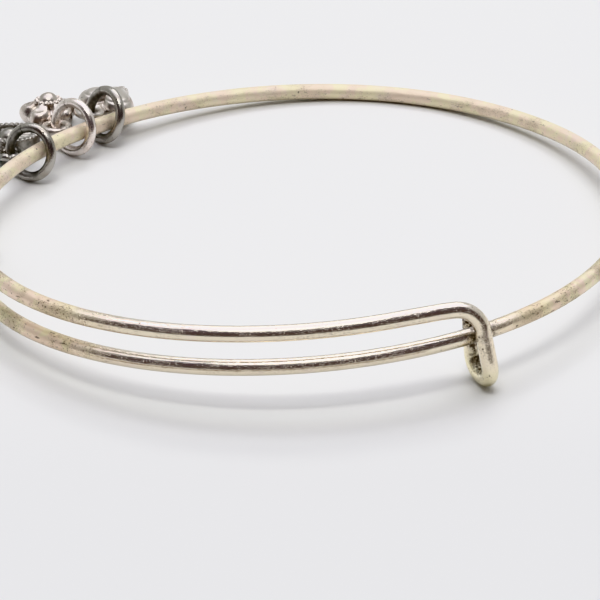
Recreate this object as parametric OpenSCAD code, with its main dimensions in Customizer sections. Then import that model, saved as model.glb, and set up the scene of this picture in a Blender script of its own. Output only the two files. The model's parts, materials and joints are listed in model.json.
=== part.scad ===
/* [Bangle wire] */
// Thickness of the round wire
wire_d = 1.6; // [1.2:0.1:2]
// Mean radius of the ring, to the middle of the wire
ring_r = 31.7; // [28:0.1:36]
// Height between the middles of the two strands that lie side by side
strand_gap = 3.4; // [3.2:0.1:4.5]
// How far the ring is longer along its long axis and shorter across it, at each end
oval = 1.4; // [0:0.1:2]
// Direction of the long axis, from the front towards the right
oval_at = -50; // [-90:5:90]
// Size of the weaker three-cornered bend of the same ring
bend = 0.4; // [0:0.1:0.8]
// Direction of one of its corners
bend_at = 48; // [-60:1:60]

/* [Hooks] */
// Place of the hook at the front right, which goes down round the lower strand
right_hook_at = 31.4; // [20:0.2:45]
// Place of the hook at the left, which goes up round the upper strand
left_hook_at = -82; // [-95:1:-70]
// How far the middle of each hook's round end lies past the strand that it holds
hook_drop = 4.4; // [4:0.1:5]

/* [Lie on the surface] */
// How far the front is raised, because the right hook stands under it
tilt_front = 4.75; // [3:0.05:6]
// How far the right side is raised
tilt_right = 2.6; // [0:0.1:4]

/* [Jump rings] */
// Outer size of a jump ring
jump_d = 6; // [5.6:0.1:6.6]
// Thickness of its wire
jump_wire = 1; // [0.8:0.1:1.1]
// Slit where its two ends meet, in degrees of its turn
jump_cut = 2; // [1:1:6]

/* [Charms] */
// Width of the puffed heart
heart_w = 6.4; // [5.5:0.1:6.8]
// Thickness of the heart
heart_t = 3; // [2:0.1:3.2]
// Width of the flower over its petals
flower_w = 6.2; // [5.5:0.1:6.2]
// Thickness of the flower at its petals
flower_t = 2.8; // [2:0.1:3]
// Width of the round disc
disc_d = 6.2; // [5.5:0.1:6.4]
// Thickness of the disc at its rim
disc_t = 1.9; // [1.4:0.1:2.2]
// Free width inside the eye of each charm
eye_hole = 1.7; // [1.6:0.1:2]
// Thickness of the eye's wire
eye_wire = 0.8; // [0.6:0.1:0.9]

/* [Hidden] */
silver = [0.80, 0.75, 0.64];
oxidised = [0.34, 0.33, 0.32];
pewter = [0.50, 0.48, 0.47];
bright = [0.74, 0.71, 0.69];

// Space left between pieces that touch on the real thing
clear = 0.12;
wire_sides = 12;
strand_step = 3;
corner_steps = 9;
round_fn = 48;

// Rows of points from a charm's underside to its top, how full its edge is, the steepest
// slope at which it could lie, and how often the search for its slope halves the range
pillow_rows = 9;
fullness = 0.6;
steepest = 40;
halvings = 16;

// The upper strand keeps its height for this many degrees past the left hook,
// then comes down to the lower strand's height over the next stretch.
settle_from = 25;
settle_over = 125;

// A hook's own path, seen from the strand that it holds: along the ring, out from its
// middle, up, and the radius of the bend at that corner.
ALONG = 0;
OUT = 1;
UP = 2;
CORNER = 3;
past_strand = wire_d + 0.2;
HOOK = [
    [-8.0, 0, strand_gap, 0],
    [-3.6, 0.3, strand_gap, 14],
    [-0.35, 1.1, strand_gap - 0.15, 2.6],
    [0.1, past_strand + 0.7, -hook_drop, 1.8],
    [0.7, -past_strand, -hook_drop, 1.75],
    [0.6, -past_strand, 1.2, 0],
];

// Where each charm hangs: place of its jump ring on the wire, turn of the jump ring from
// square on the wire, its lean, how far down its outer side the charm's eye sits, and the
// direction in which the charm lies, all in degrees.
PLACE = 0;
TURN = 1;
LEAN = 2;
EYE = 3;
HEADING = 4;
HANGS = [
    [-138, -5, 20, 16, -33],
    [-130.5, -2, 14, 20, 12],
    [-118.3, -4, 18, 18, 4],
];
RIGHT = 0;
MIDDLE = 1;
LEFT = 2;

// Where a jump ring's slit is, up from its outer side
jump_cut_at = 60;

jump_r = (jump_d - jump_wire) / 2;
eye_r = (eye_hole + eye_wire) / 2;
degrees_per_mm = 180 / PI / ring_r;

function smooth(s) = let (k = min(max(s, 0), 1)) k * k * (3 - 2 * k);
function unit(v) = v / norm(v);

// Radius of the ring, and height of the wire in the ring, at an angle counted from the front
function radius(a) = ring_r + oval * cos(2 * (a - oval_at)) + bend * cos(3 * (a - bend_at));
function level(a) =
    a > left_hook_at ? strand_gap
    : strand_gap * (1 - smooth((left_hook_at - settle_from - a) / settle_over));
function spot(a, out, up) =
    let (r = radius(a) + out) [r * sin(a), -r * cos(a), up];

// A broken line whose corners are rounded to their own radii
function rounded(path) = concat(
    [xyz(path[0])],
    [for (i = [1:len(path) - 2]) each corner(xyz(path[i - 1]), xyz(path[i]), xyz(path[i + 1]),
        path[i][CORNER])],
    [xyz(path[len(path) - 1])]);
function xyz(row) = [row[ALONG], row[OUT], row[UP]];
function corner(before, at, after, r) =
    let (a = unit(before - at), b = unit(after - at))
    let (half = acos(a * b) / 2, sweep = 180 - 2 * half)
    let (middle = at + unit(a + b) * r / sin(half))
    let (from = unit(at + a * r / tan(half) - middle), to = unit(at + b * r / tan(half) - middle))
    [for (i = [0:corner_steps]) let (f = i / corner_steps * sweep)
        middle + r * (sin(sweep - f) * from + sin(f) * to) / sin(sweep)];

// The wire from the cut end of the right hook, along the upper strand, once round the ring
// and along the lower strand to the cut end of the left hook
hook = rounded(HOOK);
last = len(hook) - 1;
run_in = -HOOK[0][ALONG] * degrees_per_mm;
strand_from = right_hook_at - run_in;
strand_to = left_hook_at - 360 + run_in;
strand_count = ceil((strand_from - strand_to) / strand_step);
ring_path = concat(
    [for (i = [last:-1:1]) spot(right_hook_at + hook[i][ALONG] * degrees_per_mm, hook[i][OUT],
        hook[i][UP])],
    [for (i = [0:strand_count]) let (a = strand_from + i / strand_count * (strand_to - strand_from))
        spot(a, 0, level(a))],
    [for (i = [1:last]) spot(left_hook_at - hook[i][ALONG] * degrees_per_mm, hook[i][OUT],
        strand_gap - hook[i][UP])]);

// The ring as it lies: raised at the front and the right, then lifted till it rests at zero
function tilted(p) =
    let (y = p.y * cos(tilt_front) + p.z * sin(tilt_front))
    let (z = -p.y * sin(tilt_front) + p.z * cos(tilt_front))
    [p.x * cos(tilt_right) - z * sin(tilt_right), y, p.x * sin(tilt_right) + z * cos(tilt_right)];
lift = wire_d / 2 - min([for (p = ring_path) tilted(p).z]);
function laid(p) = tilted(p) + [0, 0, lift];
wire_path = [for (p = ring_path) laid(p)];

// Directions along a path, and a side direction carried along it without twisting
function along(path, i) = unit(path[min(i + 1, len(path) - 1)] - path[max(i - 1, 0)]);
function square_to(v, t) = unit(v - (v * t) * t);
function sides(path) = [for (i = 0, s = square_to([0.2, 1, 0.1], along(path, 0)); i < len(path);
    i = i + 1, s = i < len(path) ? square_to(s, along(path, i)) : s) s];

module round_wire(path, d, n) {
    side = sides(path);
    points = [for (i = [0:len(path) - 1]) let (t = along(path, i), w = cross(t, side[i]))
        for (k = [0:n - 1]) path[i] + d / 2 * (cos(k * 360 / n) * side[i] + sin(k * 360 / n) * w)];
    skin = [for (i = [0:len(path) - 2], k = [0:n - 1]) let (j = (k + 1) % n)
        [i * n + k, i * n + j, (i + 1) * n + j, (i + 1) * n + k]];
    ends = [[for (k = [n - 1:-1:0]) k], [for (k = [0:n - 1]) (len(path) - 1) * n + k]];
    polyhedron(points, [for (f = concat(skin, ends)) [for (k = [len(f) - 1:-1:0]) f[k]]],
        convexity = 10);
}

// A jump ring stands on the surface with the wire against its inside. Its own X points
// outwards and its own Z up in its plane, leaned back.
function jump_turn(h) = h[PLACE] - 90 + h[TURN];
function jump_x(h) = [cos(jump_turn(h)), sin(jump_turn(h)), 0];
function jump_z(h) = [sin(h[LEAN]) * sin(jump_turn(h)), -sin(h[LEAN]) * cos(jump_turn(h)), cos(h[LEAN])];
function jump_middle(h) =
    let (wire = laid(spot(h[PLACE], 0, level(h[PLACE]))))
    let (room = jump_r - jump_wire / 2 - wire_d / 2 / cos(h[LEAN]) - clear)
    let (rise = (jump_r * cos(h[LEAN]) + jump_wire / 2 - wire.z) / cos(h[LEAN]))
    wire + sqrt(room * room - rise * rise) * jump_x(h) + rise * jump_z(h);
function eye_middle(h) = jump_middle(h) + jump_r * (cos(h[EYE]) * jump_x(h) - sin(h[EYE]) * jump_z(h));

module jump_ring(h) {
    translate(jump_middle(h)) rotate([h[LEAN], 0, jump_turn(h)]) rotate([90, 0, 0])
        rotate([0, 0, jump_cut_at]) rotate_extrude(angle = 360 - jump_cut, $fn = round_fn)
            translate([jump_r, 0]) circle(d = jump_wire, $fn = round_fn);
}

// A charm's own origin is the middle of its eye, and its body lies along +Y. The body slopes
// down from the eye till the lowest of its points meets the surface.
function lowest(points, slope) = min([for (p = points) p.z * cos(slope) - p.y * sin(slope)]);
function resting(points, height, low, high, halvings) =
    let (slope = (low + high) / 2)
    halvings == 0 ? slope
    : height + lowest(points, slope) > 0 ? resting(points, height, slope, high, halvings - 1)
    : resting(points, height, low, slope, halvings - 1);

module hung(h, points) {
    eye = eye_middle(h);
    slope = resting(points, eye.z, -steepest, steepest, halvings);
    translate(eye) rotate([-slope, 0, h[HEADING]]) children();
}

module eye(neck) {
    rotate_extrude($fn = round_fn) translate([eye_r, 0]) circle(d = eye_wire, $fn = round_fn);
    translate([0, eye_r, 0]) rotate([-90, 0, 0]) cylinder(d = eye_wire, h = neck, $fn = round_fn);
}

// A closed pillow over an outline, moved along +Y: rows of points from the middle of its
// underside, out to the outline and back to the middle of its top
function pillow_points(outline, t, y) = concat([[0, y, -t / 2]],
    [for (i = [1:pillow_rows]) let (f = -90 + 180 * i / (pillow_rows + 1), s = pow(cos(f), fullness))
        for (p = outline) [p.x * s, p.y * s + y, t / 2 * sin(f)]],
    [[0, y, t / 2]]);

module pillow(points, n) {
    top = len(points) - 1;
    faces = concat(
        [for (k = [0:n - 1]) [0, 1 + k, 1 + (k + 1) % n]],
        [for (i = [0:pillow_rows - 2], k = [0:n - 1]) let (j = (k + 1) % n)
            [1 + i * n + k, 1 + (i + 1) * n + k, 1 + (i + 1) * n + j, 1 + i * n + j]],
        [for (k = [0:n - 1]) [top, top - n + (k + 1) % n, top - n + k]]);
    polyhedron(points, faces, convexity = 6);
}

module bangle_wire() {
    color(silver) round_wire(wire_path, wire_d, wire_sides);
}

module jump_ring_right() { color(oxidised) jump_ring(HANGS[RIGHT]); }
module jump_ring_middle() { color(bright) jump_ring(HANGS[MIDDLE]); }
module jump_ring_left() { color(oxidised) jump_ring(HANGS[LEFT]); }

// The heart's curve is 32 units wide, with its notch 5 units from its middle towards the
// eye and its point 17 units away from it.
heart_unit = heart_w / 32;
heart_neck = 1.85;
heart_middle = eye_r - eye_wire / 2 + heart_neck + 5 * heart_unit;
heart_steps = 48;
heart_outline = [for (k = [0:heart_steps - 1]) let (t = 360 * k / heart_steps)
    heart_unit * [16 * pow(sin(t), 3),
        -13 * cos(t) + 5 * cos(2 * t) + 2 * cos(3 * t) + cos(4 * t)]];
heart_points = pillow_points(heart_outline, heart_t, heart_middle);

module heart_charm() {
    color(pewter) hung(HANGS[RIGHT], heart_points) {
        eye(heart_neck);
        pillow(heart_points, heart_steps);
    }
}

// The flower's outline waves in and out once for each petal, with a notch towards the eye.
petals = 5;
petal_depth = 0.13;
flower_neck = 1;
flower_r = flower_w / 2 / (1 + petal_depth);
flower_middle = eye_r + flower_neck + flower_r * (1 - petal_depth);
flower_steps = 60;
flower_outline = [for (k = [0:flower_steps - 1]) let (t = 360 * k / flower_steps)
    flower_r * (1 - petal_depth * cos(petals * (t + 90))) * [cos(t), sin(t)]];
flower_points = pillow_points(flower_outline, flower_t, flower_middle);
flower_bead = 2.2;
bead_sunk = 0.3;

module flower_charm() {
    color(bright) hung(HANGS[MIDDLE], flower_points) {
        eye(flower_neck + bead_sunk);
        pillow(flower_points, flower_steps);
        translate([0, flower_middle, flower_t / 2 - bead_sunk])
            sphere(d = flower_bead, $fn = round_fn);
    }
}

// The disc has a raised rim, a sunk floor and a boss in the middle of that floor.
disc_neck = 0.6;
disc_middle = eye_r + disc_d / 2;
disc_rim = 0.7;
disc_floor = 0.45;
disc_boss = 2.4;
boss_sunk = 0.4;
disc_edge = [for (k = [0:10:350]) [disc_d / 2 * cos(k), disc_middle + disc_d / 2 * sin(k), -disc_t / 2]];

module disc_charm() {
    color(oxidised) hung(HANGS[LEFT], disc_edge) {
        eye(disc_neck);
        translate([0, disc_middle, 0]) difference() {
            cylinder(d = disc_d, h = disc_t, center = true, $fn = round_fn);
            translate([0, 0, disc_t / 2 - disc_floor])
                cylinder(d = disc_d - 2 * disc_rim, h = disc_t, $fn = round_fn);
        }
        translate([0, disc_middle, disc_t / 2 - disc_floor - boss_sunk])
            sphere(d = disc_boss, $fn = round_fn);
    }
}

bangle_wire();
jump_ring_right();
jump_ring_middle();
jump_ring_left();
heart_charm();
flower_charm();
disc_charm();
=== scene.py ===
# %% [markdown]
# # A charm bangle
# One springy round wire goes round the wrist, overlaps itself at the front as two strands, and hooks
# each cut end round the other strand. Three small cast charms hang on jump rings at the back left.
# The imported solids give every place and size. This script adds the looks: a smooth wire, cast charms
# with their relief, and plated, tarnished and worn metal.

# %% The fixed frame
import json
import math

import bpy
from mathutils import Matrix, Vector

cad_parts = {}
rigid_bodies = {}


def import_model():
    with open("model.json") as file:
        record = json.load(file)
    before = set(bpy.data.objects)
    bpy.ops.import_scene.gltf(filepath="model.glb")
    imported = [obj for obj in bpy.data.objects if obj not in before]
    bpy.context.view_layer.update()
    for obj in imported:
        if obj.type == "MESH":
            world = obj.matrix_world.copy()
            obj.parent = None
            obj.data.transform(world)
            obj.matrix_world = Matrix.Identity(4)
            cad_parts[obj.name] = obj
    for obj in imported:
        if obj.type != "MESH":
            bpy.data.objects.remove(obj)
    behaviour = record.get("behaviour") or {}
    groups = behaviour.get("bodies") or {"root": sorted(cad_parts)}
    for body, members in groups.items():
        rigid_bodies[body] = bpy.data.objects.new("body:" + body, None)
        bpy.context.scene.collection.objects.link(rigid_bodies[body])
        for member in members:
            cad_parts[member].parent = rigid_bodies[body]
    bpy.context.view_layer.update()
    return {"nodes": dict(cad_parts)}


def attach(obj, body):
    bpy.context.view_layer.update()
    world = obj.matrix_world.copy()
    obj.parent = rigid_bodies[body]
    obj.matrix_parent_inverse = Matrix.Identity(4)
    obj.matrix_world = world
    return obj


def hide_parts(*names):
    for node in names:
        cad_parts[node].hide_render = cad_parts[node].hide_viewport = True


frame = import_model()
MM = 0.001
TURN = 2 * math.pi
print("solids:", sorted(frame["nodes"]))

# %% [markdown]
# ## Camera
# The photograph was taken from a little under half a metre, looking down at about 30 degrees, with a
# long lens. A long lens keeps the near and far side of such a small ring nearly the same size. The
# numbers come from fitting the wire's middle line to the photograph.

# %% Camera
VIEW_DISTANCE = 460 * MM
VIEW_ELEVATION = math.radians(28.82)
RING_LIFT = 2.31 * MM
LOOK_DOWN = math.radians(29.71)
LOOK_LEFT = math.radians(0.083)
CAMERA_ROLL = math.radians(-0.397)
LENS_MM = 281.0
SENSOR_MM = 36.0
NEAREST_SEEN = 0.01

camera_data = bpy.data.cameras.new("camera")
camera_data.lens = LENS_MM
camera_data.sensor_width = SENSOR_MM
camera_data.clip_start = NEAREST_SEEN
camera = bpy.data.objects.new("camera", camera_data)
bpy.context.scene.collection.objects.link(camera)
camera.matrix_world = (
    Matrix.Translation((0, -VIEW_DISTANCE * math.cos(VIEW_ELEVATION),
                        RING_LIFT + VIEW_DISTANCE * math.sin(VIEW_ELEVATION)))
    @ Matrix.Rotation(LOOK_LEFT, 4, "Z")
    @ Matrix.Rotation(math.pi / 2 - LOOK_DOWN, 4, "X")
    @ Matrix.Rotation(CAMERA_ROLL, 4, "Z"))
bpy.context.scene.camera = camera
print("camera at", [round(v, 4) for v in camera.matrix_world.translation])

# %% [markdown]
# ## Light
# Polished wire shows what stands round it. The photograph's wire has a bright upper edge, one dark
# line along its middle and a softer lower half: a pale tent above and behind, a dark opening on the
# camera's side, and a pale table below. The sky colour makes the tent and its opening, and two soft
# lamps make the table's two faint shadows.

# %% Node helpers
def add_node(tree, kind, inputs=None, **settings):
    node = tree.nodes.new(kind)
    for name, value in settings.items():
        setattr(node, name, value)
    for name, value in (inputs or {}).items():
        if isinstance(value, bpy.types.NodeSocket):
            tree.links.new(value, node.inputs[name])
        else:
            node.inputs[name].default_value = value
    return node


def remap(tree, value, low, high, to_low=0.0, to_high=1.0, smooth=True):
    node = add_node(tree, "ShaderNodeMapRange", {"Value": value, "From Min": low, "From Max": high,
                                                 "To Min": to_low, "To Max": to_high},
                    interpolation_type="SMOOTHSTEP" if smooth else "LINEAR")
    return node.outputs["Result"]


def math_node(tree, operation, first, second=0.0):
    node = add_node(tree, "ShaderNodeMath", {0: first, 1: second}, operation=operation)
    return node.outputs[0]


def plus(tree, first, *others):
    for other in others:
        first = math_node(tree, "ADD", first, other)
    return first


def times(tree, first, *others):
    for other in others:
        first = math_node(tree, "MULTIPLY", first, other)
    return first


def less_by(tree, mask, amount):
    # 1 where the mask is 0, and smaller by this amount where it is 1
    return plus(tree, 1.0, times(tree, mask, -amount))


def vector_node(tree, operation, first, second=(0.0, 0.0, 0.0)):
    node = add_node(tree, "ShaderNodeVectorMath", {0: first, 1: second}, operation=operation)
    return node.outputs["Value" if operation in ("DOT_PRODUCT", "DISTANCE") else "Vector"]


def axes(tree, vector):
    return add_node(tree, "ShaderNodeSeparateXYZ", {"Vector": vector}).outputs


def coordinates(tree, kind):
    return add_node(tree, "ShaderNodeTexCoord").outputs[kind]


def noise(tree, vector, scale, detail=2.0, roughness=0.5):
    return add_node(tree, "ShaderNodeTexNoise", {"Vector": vector, "Scale": scale, "Detail": detail,
                                                 "Roughness": roughness}).outputs["Fac"]


def mix_colour(tree, factor, first, second):
    node = add_node(tree, "ShaderNodeMix", data_type="RGBA")
    for name, value in (("Factor", factor), ("A", first), ("B", second)):
        socket = next(s for s in node.inputs if s.name == name and s.type in ("VALUE", "RGBA")
                      and (s.type == "RGBA") == (name != "Factor"))
        if isinstance(value, bpy.types.NodeSocket):
            tree.links.new(value, socket)
        else:
            socket.default_value = value
    return next(s for s in node.outputs if s.type == "RGBA")


def rgb(red, green, blue):
    return (red, green, blue, 1.0)


def new_material(name, metallic=0.0, roughness=0.5):
    material = bpy.data.materials.new(name)
    material.use_nodes = True
    shader = material.node_tree.nodes["Principled BSDF"]
    shader.inputs["Metallic"].default_value = metallic
    shader.inputs["Roughness"].default_value = roughness
    return material, material.node_tree, shader


# %% The tent, its bright top and its dark opening
TENT_SIDE = rgb(0.53, 0.535, 0.52)
TENT_TOP = rgb(1.90, 1.92, 2.10)
TENT_SEAM = rgb(0.74, 0.60, 0.72)
TENT_STRENGTH = 1.14
TOP_MIDDLE = (0.0, 0.225, 0.974)
TOP_EDGE = (0.88, 0.94)
TOP_LENGTH = 1.80
SEAM_BEHIND = 0.19
SEAM_EDGE = (0.035, 0.085)
SEAM_LOWEST = 0.2
OPENING = rgb(0.098, 0.080, 0.086)
OPENING_TOP = (0.62, 0.92)
OPENING_SIDE = (0.05, 0.42)
OPENING_RISE = 0.35
OPENING_LEAN = 0.10
NEVER_ZERO = 0.01

world = bpy.data.worlds.new("tent")
bpy.context.scene.world = world
world.use_nodes = True
sky = world.node_tree
way = coordinates(sky, "Generated")
way_part = axes(sky, way)
# The bright top is longer from left to right than from front to back
shortened = vector_node(sky, "MULTIPLY", way, (1 / TOP_LENGTH, 1.0, 1.0))
from_top = vector_node(sky, "DOT_PRODUCT", vector_node(sky, "NORMALIZE", shortened), TOP_MIDDLE)
# One seam runs across the top, a little behind the middle
behind = math_node(sky, "DIVIDE", way_part["Y"],
                   math_node(sky, "MAXIMUM", way_part["Z"], SEAM_LOWEST))
from_seam = math_node(sky, "ABSOLUTE", plus(sky, behind, -SEAM_BEHIND))
tent_top = mix_colour(sky, remap(sky, from_seam, *SEAM_EDGE, 1.0, 0.0), TENT_TOP, TENT_SEAM)
tent = mix_colour(sky, remap(sky, from_top, *TOP_EDGE), TENT_SIDE, tent_top)
side_sq = math_node(sky, "POWER", way_part["X"], 2.0)
flat_sq = plus(sky, side_sq, math_node(sky, "POWER", way_part["Y"], 2.0), NEVER_ZERO)
sideways = math_node(sky, "DIVIDE", side_sq, flat_sq)
towards_camera = math_node(sky, "DIVIDE", times(sky, way_part["Y"], -1.0),
                           math_node(sky, "SQRT", flat_sq))
# The opening's upper edge rises to both sides, more to the left, as the cloth of a tent hangs
edge_height = plus(sky, way_part["Z"], times(sky, sideways, -OPENING_RISE),
                   times(sky, way_part["X"], OPENING_LEAN))
opening = times(sky, remap(sky, edge_height, *OPENING_TOP, 1.0, 0.0),
                remap(sky, towards_camera, *OPENING_SIDE))
background = sky.nodes["Background"]
sky.links.new(mix_colour(sky, opening, tent, OPENING), background.inputs["Color"])
background.inputs["Strength"].default_value = TENT_STRENGTH
print("sky:", len(sky.nodes), "nodes")

# %% Two soft lamps
LAMP_COLOUR = (1.0, 0.99, 0.97)


def soft_lamp(name, direction, distance, wide, deep, power):
    data = bpy.data.lights.new(name, "AREA")
    data.shape = "ELLIPSE"
    data.size = wide
    data.size_y = deep
    data.energy = power
    data.color = LAMP_COLOUR
    lamp = bpy.data.objects.new(name, data)
    bpy.context.scene.collection.objects.link(lamp)
    towards = Vector(direction).normalized()
    lamp.matrix_world = (Matrix.Translation(towards * distance)
                         @ towards.to_track_quat("Z", "Y").to_matrix().to_4x4())
    print(name, "at", [round(v, 3) for v in lamp.matrix_world.translation])


soft_lamp("overhead_lamp", (0.0, -0.26, 1.0), distance=0.8, wide=0.44, deep=0.115, power=1.66)
soft_lamp("back_lamp", (0.1, 0.79, 1.0), distance=0.5, wide=0.32, deep=0.10, power=0.395)
bpy.context.scene.view_settings.view_transform = "Khronos PBR Neutral"

# %% [markdown]
# ## Table
# The bangle lies on a white sheet that fills the picture. It is a flat grid with a faintly uneven
# tone, as paper has, and it isn't part of the object.

# %% Table
TABLE_HALF = 1.2
PAPER_SCALE = 25.0
PAPER_TONES = (rgb(0.862, 0.868, 0.858), rgb(0.874, 0.880, 0.870))
PAPER_SHADED_TONE = rgb(0.780, 0.786, 0.780)
PAPER_SHADE_EDGE = (-0.046, -0.012)
PAPER_ROUGH = 0.85

bpy.ops.object.select_all(action="DESELECT")
bpy.ops.mesh.primitive_grid_add(x_subdivisions=8, y_subdivisions=8, size=2 * TABLE_HALF)
table = bpy.context.object
table.name = "table"
paper, paper_tree, paper_shader = new_material("paper", roughness=PAPER_ROUGH)
paper_place = coordinates(paper_tree, "Object")
paper_light = mix_colour(paper_tree, noise(paper_tree, paper_place, PAPER_SCALE, 3.0), *PAPER_TONES)
# The sheet is painted a little greyer towards the camera, as painted shade
paper_shade = remap(paper_tree, axes(paper_tree, paper_place)["Y"], *PAPER_SHADE_EDGE, 1.0, 0.0)
paper_tree.links.new(mix_colour(paper_tree, paper_shade, paper_light, PAPER_SHADED_TONE),
                     paper_shader.inputs["Base Color"])
table.data.materials.append(paper)
print("table:", 2 * TABLE_HALF, "m wide")

# %% [markdown]
# ## What the wire mirrors at the front
# The real sheet seems to end near the bottom of the picture, for the wire's dark line reaches under its
# middle. A dark card that the camera can't see stands for what lies beyond the sheet. A card is used,
# and not a darker sky, because the wire then mirrors it as something that lies on the table's level.

# %% Dark card in front
CARD_NEAR = 0.068
CARD_DEPTH = 0.5
CARD_WIDE = 0.9
CARD_HEIGHT = 0.001
CARD_COLOUR = rgb(0.05, 0.037, 0.032)
CARD_ROUGH = 0.9

bpy.ops.object.select_all(action="DESELECT")
bpy.ops.mesh.primitive_grid_add(x_subdivisions=2, y_subdivisions=2, size=1,
                                location=(0, -CARD_NEAR - CARD_DEPTH / 2, CARD_HEIGHT))
card = bpy.context.object
card.name = "dark_card"
card.scale = (CARD_WIDE, CARD_DEPTH, 1)
bpy.ops.object.transform_apply(location=True, scale=True)
card_cloth, _, card_shader = new_material("card_cloth", roughness=CARD_ROUGH)
card_shader.inputs["Base Color"].default_value = CARD_COLOUR
card.data.materials.append(card_cloth)
card.visible_camera = False
card.visible_shadow = False
card.visible_diffuse = False
print("card:", CARD_NEAR, "m in front of the ring's middle")

# %% [markdown]
# ## The line of the wire
# The wire's route is worked out, not drawn: a ring that is a little oval, a height that falls from
# the upper strand to the lower one round the back, and one hook shape that serves both ends. These
# are the same sizes as the solid's, so the smooth wire lies exactly on it.

# %% Sizes of the wire
# All in millimetres and degrees. Angles round the ring start at its front and grow to the right
WIRE_D = 1.6
RING_R = 31.7
STRAND_GAP = 3.4
OVAL, OVAL_AT = 1.4, -50
BEND, BEND_AT = 0.4, 48
RIGHT_HOOK_AT, LEFT_HOOK_AT = 31.4, -82
HOOK_DROP = 4.4
TILT_FRONT, TILT_RIGHT = 4.75, 2.6
SETTLE_FROM, SETTLE_OVER = 25, 125
PAST_STRAND = WIRE_D + 0.2
# Along the ring, out from its middle, up, and the radius of the bend
HOOK = [
    (-8.0, 0.0, STRAND_GAP, 0.0),
    (-3.6, 0.3, STRAND_GAP, 14.0),
    (-0.35, 1.1, STRAND_GAP - 0.15, 2.6),
    (0.1, PAST_STRAND + 0.7, -HOOK_DROP, 1.8),
    (0.7, -PAST_STRAND, -HOOK_DROP, 1.75),
    (0.6, -PAST_STRAND, 1.2, 0.0),
]
BEND_STEPS = 16
RING_STEPS = 400
DEGREES_PER_MM = 180 / math.pi / RING_R


# %% Route of the wire
def cosd(angle):
    return math.cos(math.radians(angle))


def sind(angle):
    return math.sin(math.radians(angle))


def ring_radius(a):
    return RING_R + OVAL * cosd(2 * (a - OVAL_AT)) + BEND * cosd(3 * (a - BEND_AT))


def eased(k):
    k = min(max(k, 0), 1)
    return k * k * (3 - 2 * k)


def level(a):
    if a > LEFT_HOOK_AT:
        return STRAND_GAP
    return STRAND_GAP * (1 - eased((LEFT_HOOK_AT - SETTLE_FROM - a) / SETTLE_OVER))


def spot(a, out, up):
    r = ring_radius(a) + out
    return Vector((r * sind(a), -r * cosd(a), up))


def rounded(path, steps):
    line = [Vector(path[0][:3])]
    for before, at, after in zip(path, path[1:], path[2:]):
        corner = Vector(at[:3])
        a = (Vector(before[:3]) - corner).normalized()
        b = (Vector(after[:3]) - corner).normalized()
        half = a.angle(b) / 2
        middle = corner + (a + b).normalized() * at[3] / math.sin(half)
        start = corner + a * at[3] / math.tan(half) - middle
        end = corner + b * at[3] / math.tan(half) - middle
        line += [middle + start.normalized().slerp(end.normalized(), i / steps) * at[3]
                 for i in range(steps + 1)]
    return line + [Vector(path[-1][:3])]


def tilted(p):
    y = p.y * cosd(TILT_FRONT) + p.z * sind(TILT_FRONT)
    z = -p.y * sind(TILT_FRONT) + p.z * cosd(TILT_FRONT)
    return Vector((p.x * cosd(TILT_RIGHT) - z * sind(TILT_RIGHT), y,
                   p.x * sind(TILT_RIGHT) + z * cosd(TILT_RIGHT)))


def ring_route():
    hook = rounded(HOOK, BEND_STEPS)
    start = RIGHT_HOOK_AT + HOOK[0][0] * DEGREES_PER_MM
    end = LEFT_HOOK_AT - 360 - HOOK[0][0] * DEGREES_PER_MM
    right = [spot(RIGHT_HOOK_AT + p.x * DEGREES_PER_MM, p.y, p.z) for p in hook[:0:-1]]
    ring = [start + i / RING_STEPS * (end - start) for i in range(RING_STEPS + 1)]
    left = [spot(LEFT_HOOK_AT - p.x * DEGREES_PER_MM, p.y, STRAND_GAP - p.z) for p in hook[1:]]
    return [tilted(p) for p in right + [spot(a, 0, level(a)) for a in ring] + left]


flat_route = ring_route()
LIFT = WIRE_D / 2 - min(p.z for p in flat_route)
wire_route = [(p + Vector((0, 0, LIFT))) * MM for p in flat_route]
print("lift %.3f mm, %d points" % (LIFT, len(wire_route)))

# %% Even steps along the route
WIRE_STEP = 0.35 * MM


def even_steps(points, step):
    lengths = [0.0]
    for a, b in zip(points, points[1:]):
        lengths.append(lengths[-1] + (b - a).length)
    count = round(lengths[-1] / step)
    line, k = [], 0
    for i in range(count + 1):
        want = lengths[-1] * i / count
        while k < len(points) - 2 and lengths[k + 1] < want:
            k += 1
        line.append(points[k].lerp(points[k + 1], (want - lengths[k]) / (lengths[k + 1] - lengths[k])))
    return line, lengths[-1]


wire_line, wire_length = even_steps(wire_route, WIRE_STEP)
print("wire is %.1f mm long" % (wire_length / MM))

# %% [markdown]
# ## The bangle wire
# A curve with a round bevel is the natural way to make a wire: it keeps one thickness along any
# route. It is made a mesh at the end, which also gives it a map that runs along and round the wire,
# so drawing lines, streaks and dashes can follow the metal.

# %% Curve through points
def tube_through(name, points, radius, rings):
    bpy.ops.object.select_all(action="DESELECT")
    bpy.ops.curve.primitive_nurbs_path_add()
    tube = bpy.context.object
    tube.name = name
    tube.data.splines.clear()
    spline = tube.data.splines.new("POLY")
    spline.points.add(len(points) - 1)
    for point, place in zip(spline.points, points):
        point.co = (*place, 1.0)
    tube.data.twist_mode = "MINIMUM"
    tube.data.bevel_depth = radius
    tube.data.bevel_resolution = rings
    tube.data.use_fill_caps = True
    bpy.ops.object.convert(target="MESH")
    return bpy.context.object


# %% Apply a modifier
def apply_modifier(piece, kind, **settings):
    bpy.ops.object.select_all(action="DESELECT")
    piece.select_set(True)
    bpy.context.view_layer.objects.active = piece
    modifier = piece.modifiers.new("shape", kind)
    for name, value in settings.items():
        setattr(modifier, name, value)
    bpy.ops.object.modifier_apply(modifier=modifier.name)


# %% Model the wire
WIRE_ROUNDNESS = 10
SHARP_ANGLE = math.radians(50)

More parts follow.
